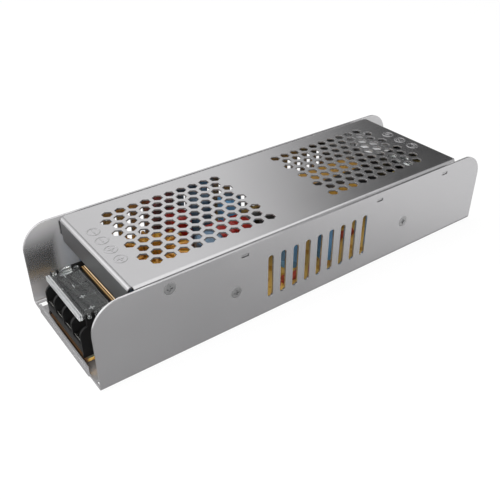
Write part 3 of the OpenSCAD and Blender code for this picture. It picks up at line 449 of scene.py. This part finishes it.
for end, count in (("output", 4), ("input", 3)):
    for k in range(1, count + 1):
        bright_steel.on(f"{end}_clamp_{k}")
        head_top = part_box(f"{end}_screw_{k}")[1][2]
        own_copy(screw).location = (*middle_of(f"{end}_screw_{k}"), head_top - head_h)
        piece = set_in_mesh(f"{end}_threaded_screw_{k}")
        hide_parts(f"{end}_screw_{k}")
        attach(piece, f"{end}_screw_{k}")
bpy.data.objects.remove(screw)


# Barrier card: pale amber fibre card folded into plies behind the output block.
# Below the cut top edges the faces of the plies are painted dark, as shade in the gaps
# between them.
card = Finish("amber_fibre_card", IOR=1.45)
card_low, card_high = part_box("barrier_card")
cut_band = (card_high[2] - 0.00012, card_high[2] - 0.00002)
front_ply_back = card_low[0] + 0.00075
pulp = card.place.grain(1.0, stretch=(400.0, 250.0, 1500.0), detail=5.0)
# Painted shade: the ply faces below the cut top, dark as the gaps between the plies.
painted_shade_side = pulp.blend((0.035, 0.018, 0.008), (0.075, 0.04, 0.015))
front_ply = pulp.blend((0.34, 0.20, 0.08), (0.50, 0.31, 0.13))
back_plies = pulp.blend((0.72, 0.52, 0.28), (0.92, 0.74, 0.48))
past_front = card.place.axis("X") > front_ply_back
rim = card.place.axis("Z").ramp(*cut_band)
card.feed("Base Color", rim.blend(painted_shade_side, past_front.blend(front_ply, back_plies)))
card.rough(pulp, 0.5, 0.75)
card.bump(pulp, distance=0.00004, strength=0.6)
card.on("barrier_card")


# Chokes: a sprayed powder ring and a bare ferrite ring, wound with enamelled copper
# wire and stood on the board.
ring = moulded("sprayed_ring_core", (0.52, 0.30, 0.04), (0.68, 0.42, 0.07), 0.5, 0.7, scale=900.0)
ring.on("output_choke_core")

ferrite = moulded(
    "ground_ferrite", (0.045, 0.045, 0.048), (0.10, 0.10, 0.105), 0.45, 0.7, scale=1500.0
)
ferrite.on("line_choke_core")

wire = Finish("enamelled_copper", Metallic=0.45, Coat_Weight=0.6, Coat_Roughness=0.12)
drawn = wire.place.grain(350.0)
wire.feed("Base Color", drawn.blend((0.62, 0.27, 0.04), (0.80, 0.41, 0.08)))
wire.rough(drawn, 0.25, 0.4)
wire.on("output_choke_winding", "line_choke_windings")


# Capacitors: drawn aluminium cans in shrunk sleeves, with a blue tint on the small
# ones, and red film capacitors dipped in epoxy.
can = plated_steel(
    "drawn_can_aluminium", (0.86, 0.86, 0.87), (0.95, 0.95, 0.96), 0.3, 0.5, metal=0.1
)
can.on("bulk_capacitor_can")
tinted_can = plated_steel(
    "blue_tinted_can", (0.17, 0.28, 0.40), (0.27, 0.38, 0.51), 0.3, 0.5, metal=0.4
)
tinted_can.on("output_capacitor_cans", "auxiliary_capacitor_cans")


def shrunk_sleeve(name, dark, light):
    sleeve = Finish(name, IOR=1.52, Coat_Weight=0.3, Coat_Roughness=0.15)
    pull = sleeve.place.grain(1.0, stretch=(350.0, 350.0, 60.0))
    sleeve.feed("Base Color", pull.blend(dark, light))
    sleeve.rough(pull, 0.25, 0.4)
    sleeve.bump(pull, distance=0.0001, strength=0.3)
    return sleeve


slate_sleeve = shrunk_sleeve("slate_sleeve", (0.05, 0.09, 0.14), (0.09, 0.15, 0.22))
slate_sleeve.on("output_capacitor_sleeves")
blue_sleeve = shrunk_sleeve("steel_blue_sleeve", (0.09, 0.27, 0.50), (0.17, 0.40, 0.66))
blue_sleeve.on("auxiliary_capacitor_sleeves")
black_sleeve = shrunk_sleeve("black_sleeve", (0.012, 0.012, 0.014), (0.03, 0.03, 0.033))
black_sleeve.on("bulk_capacitor_sleeve")

epoxy = Finish("red_dipped_epoxy", IOR=1.55, Coat_Weight=0.5, Coat_Roughness=0.1)
run = epoxy.place.grain(110.0)
epoxy.feed("Base Color", run.blend((0.26, 0.010, 0.008), (0.42, 0.028, 0.018)))
epoxy.rough(run, 0.2, 0.38)
epoxy.bump(run, distance=0.0004, strength=0.4)
epoxy.on("film_capacitors")


# Transformers: ground ferrite cores around windings wrapped in amber tape, on a
# black moulded bobbin foot.
ferrite.on("main_transformer_core", "drive_transformer_core")

tape = Finish("amber_winding_tape", IOR=1.5, Coat_Weight=0.4, Coat_Roughness=0.2)
wraps = tape.place.grain(1.0, stretch=(120.0, 120.0, 2200.0), detail=2.0)
tape.feed("Base Color", wraps.blend((0.33, 0.165, 0.02), (0.47, 0.26, 0.04)))
tape.rough(wraps, 0.25, 0.42)
tape.bump(wraps, distance=0.00006, strength=0.5)
tape.on("main_transformer_winding", "main_transformer_tape", "drive_transformer_winding")

resin = moulded("black_moulded_resin", (0.012, 0.012, 0.012), (0.04, 0.04, 0.04), 0.4, 0.6)
resin.on("main_transformer_bobbin")


# Power packages: black epoxy packages on grey thermal pads, pressed to the near
# plate by aluminium bars.
resin.on("rectifier_packages", "switch_packages")
can.on("clamp_bars")
pad = moulded("grey_thermal_pad", (0.40, 0.40, 0.42), (0.55, 0.55, 0.57), 0.6, 0.8, scale=600.0)
pad.on("thermal_pads")


# Mains parts: a yellow moulded safety capacitor, a glass fuse between plated caps,
# blue dipped disc capacitors, and a bridge rectifier and a thermistor in black resin,
# all soldered to the board.
box_plastic = moulded("yellow_box_moulding", (0.62, 0.46, 0.08), (0.78, 0.62, 0.16), 0.35, 0.5)
box_plastic.on("safety_capacitor")
disc = moulded("blue_dipped_disc", (0.04, 0.16, 0.42), (0.08, 0.26, 0.56), 0.3, 0.5, scale=500.0)
disc.on("disc_capacitors")
glass = Finish("fuse_glass", IOR=1.5, Transmission_Weight=0.9)
streak = glass.place.grain(300.0)
glass.feed("Base Color", streak.blend((0.80, 0.86, 0.84), (0.94, 0.97, 0.96)))
glass.rough(streak, 0.03, 0.12)
glass.on("fuse_tube")
bright_steel.on("fuse_caps")
resin.on("bridge_rectifier", "inrush_thermistor")


# Control parts: a controller chip in black resin, optocouplers in pale moulded resin
# and red lacquered power resistors, soldered to the board.
resin.on("controller_chip")
pale_resin = moulded("white_package_resin", (0.66, 0.66, 0.62), (0.82, 0.82, 0.78), 0.4, 0.6)
pale_resin.on("optocouplers")
lacquer = moulded(
    "lacquered_resistor", (0.30, 0.04, 0.025), (0.46, 0.09, 0.05), 0.3, 0.45, scale=600.0
)
lacquer.on("power_resistors")


# Clear flip covers: moulded polycarbonate with polished faces and eased edges. The
# front bead is lightly frosted for the finger, and fine bands of stronger frosting
# across it are painted highlights, standing in for the glints of its moulded profile.
# Each panel carries raised signs over its terminals, moulded with it.
clear = Finish("clear_cover_plastic", IOR=1.36, Transmission_Weight=1.0)
bead_len = 0.002
bands_per_metre = 1000.0
panel_haze = 0.025
bead_haze = 0.05
highlight_band_share = 0.36
bead_back = -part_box("output_terminal_cover")[0][0] - bead_len
flow = clear.place.grain(90.0)
clear.feed("Base Color", flow.blend((0.86, 0.90, 0.89), (0.95, 0.97, 0.96)))
clear.rough(flow, 0.02, 0.06)
clear.bump(flow, distance=0.00002, strength=0.04)
reach = clear.place.offset("X") - bead_back
# Painted highlights: stripes of stronger frosting across the bead.
on_highlight_band = clear.place.maths("FRACT", reach * bands_per_metre) > 0.5
on_bead = reach > 0.0
frosting = flow.blend((0.68, 0.69, 0.70), (0.76, 0.77, 0.78))
matt = clear.place.node(
    "ShaderNodeBsdfPrincipled", values={"Base Color": frosting, "Roughness": 0.3, "IOR": 1.5}
)
polished = Shade(clear.tree, clear.shader.outputs[0])
bead_painted_highlights = clear.place.node(
    "ShaderNodeMixShader",
    values={0: on_bead * (on_highlight_band * highlight_band_share + bead_haze) + panel_haze, 1: polished, 2: matt},
)
clear.tree.links.new(bead_painted_highlights.outlet, clear.tree.nodes["Material Output"].inputs["Surface"])


def ease_edges(piece, width, segments, sharper_than):
    """Rounds the edges of the active piece that turn by more than that angle in degrees."""
    ease = piece.modifiers.new("eased_edges", "BEVEL")
    ease.width = width
    ease.segments = segments
    ease.limit_method = "ANGLE"
    ease.angle_limit = math.radians(sharper_than)
    bpy.ops.object.modifier_apply(modifier=ease.name)


for end in ("output", "input"):
    source = nodes[f"{end}_terminal_cover"]
    piece = own_copy(source)
    piece.parent = None
    piece.matrix_world = source.matrix_world.copy()
    piece = set_in_mesh(f"{end}_clear_cover")
    bpy.ops.object.mode_set(mode="EDIT")
    bpy.ops.mesh.select_all(action="SELECT")
    bpy.ops.mesh.remove_doubles(threshold=merge_distance)
    bpy.ops.mesh.dissolve_limited(angle_limit=math.radians(1))
    bpy.ops.object.mode_set(mode="OBJECT")
    ease_edges(piece, width=0.00022, segments=3, sharper_than=40)
    bpy.ops.object.shade_smooth_by_angle(angle=math.radians(40))
    clear.dress(piece)
    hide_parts(f"{end}_terminal_cover")
    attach(piece, f"{end}_cover")

frosted = Finish("frosted_raised_sign", IOR=1.45, Transmission_Weight=0.35)
frost = frosted.place.grain(2500.0)
frosted.feed("Base Color", frost.blend((0.22, 0.23, 0.23), (0.36, 0.37, 0.37)))
frosted.rough(frost, 0.35, 0.6)

sign_cells = {
    "plus": ["..#..", "..#..", "#####", "..#..", "..#.."],
    "minus": [".....", ".....", "#####", ".....", "....."],
    "live": ["#....", "#....", "#....", "#....", "#####"],
    "neutral": ["#...#", "##..#", "###.#", "#.###", "#..##", "#...#"],
    "earth": ["..#..", "..#..", "#####", ".....", ".###.", ".....", "..#.."],
}
terminal_signs = {
    "output": ["plus", "plus", "minus", "minus"],
    "input": ["live", "neutral", "earth"],
}
sign_turn = {"output": -90, "input": 90}
sign_height = 0.00018


def raised_sign(name, sign, place, size, turn):
    """A sign of square cells, raised from a grid with its edges eased, at a place on a face."""
    rows = sign_cells[sign]
    cell_wide = size / len(rows[0])
    cell_high = size / len(rows)

    def is_empty(at):
        row = int((size / 2 - at.y) / cell_high)
        column = int((at.x + size / 2) / cell_wide)
        return rows[row][column] == "."

    bpy.ops.object.select_all(action="DESELECT")
    bpy.ops.mesh.primitive_grid_add(
        x_subdivisions=len(rows[0]), y_subdivisions=len(rows), size=size
    )
    piece = set_in_mesh(name)
    bpy.ops.object.mode_set(mode="EDIT")
    pick(piece, "FACE", is_empty)
    bpy.ops.mesh.delete(type="FACE")
    bpy.ops.mesh.select_all(action="SELECT")
    push_out(sign_height)
    bpy.ops.mesh.select_all(action="SELECT")
    bpy.ops.mesh.normals_make_consistent(inside=False)
    bpy.ops.object.mode_set(mode="OBJECT")
    ease_edges(piece, width=sign_height / 3, segments=2, sharper_than=30)
    piece.rotation_euler = (0, 0, math.radians(turn))
    piece.location = place
    return set_in_mesh(name)


panel_sign = 0.0024
bead_above_panel = 0.0013
for end, signs in terminal_signs.items():
    panel_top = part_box(f"{end}_terminal_cover")[1][2] - bead_above_panel
    for k, sign in enumerate(signs, 1):
        spot = (*middle_of(f"{end}_screw_{k}"), panel_top)
        piece = raised_sign(f"{end}_panel_sign_{k}", sign, spot, panel_sign, sign_turn[end])
        frosted.dress(piece)
        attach(piece, f"{end}_cover")


# Top cover: perforated and folded from the same sheet as the chassis, closed by
# countersunk screws with a grey plating. The punched walls of its holes and its end
# flanges are duller, and painted shade darkens them; signs are stamped up inside its
# rings.
cover_sheet = rolled_sheet("satin_cover_sheet", tone=(0.61, 0.605, 0.615))
sheet_thick = 0.0008
top_skin = 0.00006
ring_height = 0.0002
cover_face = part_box("top_cover")[1][2] - ring_height
field_half = 0.032
bend_len = 0.0025
flange_skin = 0.0003
bend_height = 0.0015
along = cover_sheet.place.offset("X")
aside = cover_sheet.place.offset("Y")
depth = cover_face - cover_sheet.place.axis("Z")
in_wall = (depth > top_skin) * (depth < sheet_thick - top_skin)
# Painted shade: the hole walls and the end flanges are darkened towards black; both are also
# rougher.
punched_wall_shade = in_wall * (aside < field_half) * (along < cover_end - bend_len)
flange_dull_and_shade = (along > cover_end - flange_skin) * (depth > bend_height)
black = (0.0, 0.0, 0.0)
cover_sheet.feed("Metallic", 0.97 - 0.2 * punched_wall_shade + 0.03 * flange_dull_and_shade)
cover_sheet.feed("Base Color", (0.38 * punched_wall_shade + 0.52 * flange_dull_and_shade).blend(cover_sheet.colour, black))
cover_sheet.rough(cover_sheet.shade + 2.5 * punched_wall_shade + flange_dull_and_shade, *satin)
cover_sheet.on("top_cover")

grey_steel = plated_steel(
    "grey_plated_steel", (0.42, 0.42, 0.425), (0.58, 0.58, 0.585), 0.22, 0.36
)
grey_steel.on("cover_screws", "clamp_screws")

ring_inset = 0.0072
ring_pitch = {"output": 0.0084, "input": 0.009}
ring_x = {"output": ring_inset - cover_end, "input": cover_end - ring_inset}
cover_sign = 0.0030
for end, signs in terminal_signs.items():
    for k, sign in enumerate(signs, 1):
        ring_y = (k - (len(signs) + 1) / 2) * ring_pitch[end]
        spot = (ring_x[end], ring_y, cover_face)
        piece = raised_sign(f"{end}_cover_sign_{k}", sign, spot, cover_sign, sign_turn[end])
        cover_sheet.dress(piece)
        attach(piece, "case")


# Stage: a plain white floor that keeps the shadow, in a soft white studio, with two
# soft lamps and the camera of the photograph. What metal mirrors is a room with a
# darker wall at the right, a dim ground, a lighter ceiling and a softbox behind.
def seen_plainly(tree):
    """1 for rays from the camera or through clear plastic, which see plain white, else 0."""
    paths = Shade(tree)
    from_camera = paths.node("ShaderNodeLightPath", outlet="Is Camera Ray")
    through_clear = paths.node("ShaderNodeLightPath", outlet="Is Transmission Ray")
    return from_camera.larger(through_clear)


white = (1.0, 1.0, 1.0, 1.0)
floor_size = 6.0
floor_white = 0.88
bpy.ops.object.select_all(action="DESELECT")
bpy.ops.mesh.primitive_plane_add(size=floor_size, location=(0, 0, 0))
floor = bpy.context.object
floor.name = "studio_floor"
floor.visible_glossy = False
paper = bpy.data.materials.new("studio_paper")
paper.use_nodes = True
floor.data.materials.append(paper)
tree = paper.node_tree
tree.nodes.remove(tree.nodes["Principled BSDF"])
paper_face = Shade(tree).node("ShaderNodeBsdfDiffuse", values={"Color": (0.9, 0.9, 0.9, 1.0)})
paper_glow = Shade(tree).node("ShaderNodeEmission", values={"Color": white, "Strength": 1.0})
paper_mix = Shade(tree).node(
    "ShaderNodeMixShader",
    values={0: seen_plainly(tree) * floor_white, 1: paper_face, 2: paper_glow},
)
tree.links.new(paper_mix.outlet, tree.nodes["Material Output"].inputs["Surface"])

world = bpy.data.worlds.new("studio_world")
bpy.context.scene.world = world
world.use_nodes = True
tree = world.node_tree
way = Shade(tree).node("ShaderNodeTexCoord", outlet="Generated")


def towards(direction):
    """How far a ray points in this direction, up to 1."""
    return way.node(
        "ShaderNodeVectorMath",
        {"operation": "DOT_PRODUCT"},
        {0: way, 1: direction},
        outlet="Value",
    )


room_level = 0.87
height = way.axis("Z")

wall_way = (0.951, -0.309, 0.0)
wall_near_edge = (0.19, 0.50)
wall_far_edge = (0.66, 0.78)
wall_far_gain = 0.7
wall_foot = (-0.05, 0.10)
wall_top = (0.64, 0.80)
side = towards(wall_way)
wall = side.ramp(*wall_near_edge) - wall_far_gain * side.ramp(*wall_far_edge)
wall = wall * height.ramp(*wall_foot) * (1 - height.ramp(*wall_top))

front_ground_loss = 0.57
front_ground_edge = (-0.545, -0.49)
back_ground_loss = 0.78
back_ground_edge = (-0.40, -0.25)
near_ground_edge = (-0.62, -0.57)
near_ground_share = 0.74
behind_edge = (0.2, 0.5)
behind = way.axis("Y").ramp(*behind_edge)
front_ground = 1 - height.ramp(*front_ground_edge)
near_ground = near_ground_share + (1 - near_ground_share) * height.ramp(*near_ground_edge)
back_ground = near_ground * (1 - height.ramp(*back_ground_edge))
ground = (1 - behind) * front_ground_loss * front_ground + behind * back_ground_loss * back_ground

ceiling_gain = 0.45
ceiling_edge = (0.66, 0.84)
zenith_edge = (0.93, 0.98)
ceiling = height.ramp(*ceiling_edge) - height.ramp(*zenith_edge)

softbox_gain = 0.65
softbox_way = (-0.60, 0.62, 0.50)
softbox_edge = (0.93, 0.985)
softbox = towards(softbox_way).ramp(*softbox_edge)

gap_loss = 0.7
gap_way = (0.06, 0.75, 0.66)
gap_edge = (0.98, 0.995)
gap_beside_softbox = towards(gap_way).ramp(*gap_edge)

studio = room_level + ceiling_gain * ceiling - room_level * wall - ground
studio = studio + softbox_gain * softbox - gap_loss * gap_beside_softbox
plain = seen_plainly(tree)
level = plain + (1 - plain) * studio
background = tree.nodes["Background"]
background.inputs["Color"].default_value = white
tree.links.new(level.outlet, background.inputs["Strength"])


def soft_lamp(name, place, size, power):
    """A square lamp that points at the part and isn't mirrored in it."""
    part_middle = Vector((0, 0, 0.02))
    bpy.ops.object.light_add(type="AREA", location=place)
    lamp = bpy.context.object
    lamp.name = name
    lamp.data.size = size
    lamp.data.energy = power
    lamp.visible_glossy = False
    lamp.rotation_euler = (part_middle - lamp.location).to_track_quat("-Z", "Y").to_euler()


soft_lamp("key_lamp", (-0.35, 0.25, 0.75), size=0.5, power=3.0)
soft_lamp("camera_side_lamp", (-0.33, -0.44, 0.42), size=0.2, power=2.4)

camera_place = (-0.176273, -0.220971, 0.193613)
azimuth = math.radians(-36.338)
elevation = math.radians(33.862)
back = Vector(
    (
        math.sin(azimuth) * math.cos(elevation),
        -math.cos(azimuth) * math.cos(elevation),
        math.sin(elevation),
    )
)
bpy.ops.object.camera_add(location=camera_place)
camera = bpy.context.object
camera.rotation_euler = (-back).to_track_quat("-Z", "Y").to_euler()
camera.data.sensor_width = 36.0
camera.data.lens = 47.64
camera.data.clip_start = 0.01
bpy.context.scene.camera = camera
bpy.context.scene.view_settings.view_transform = "Standard"
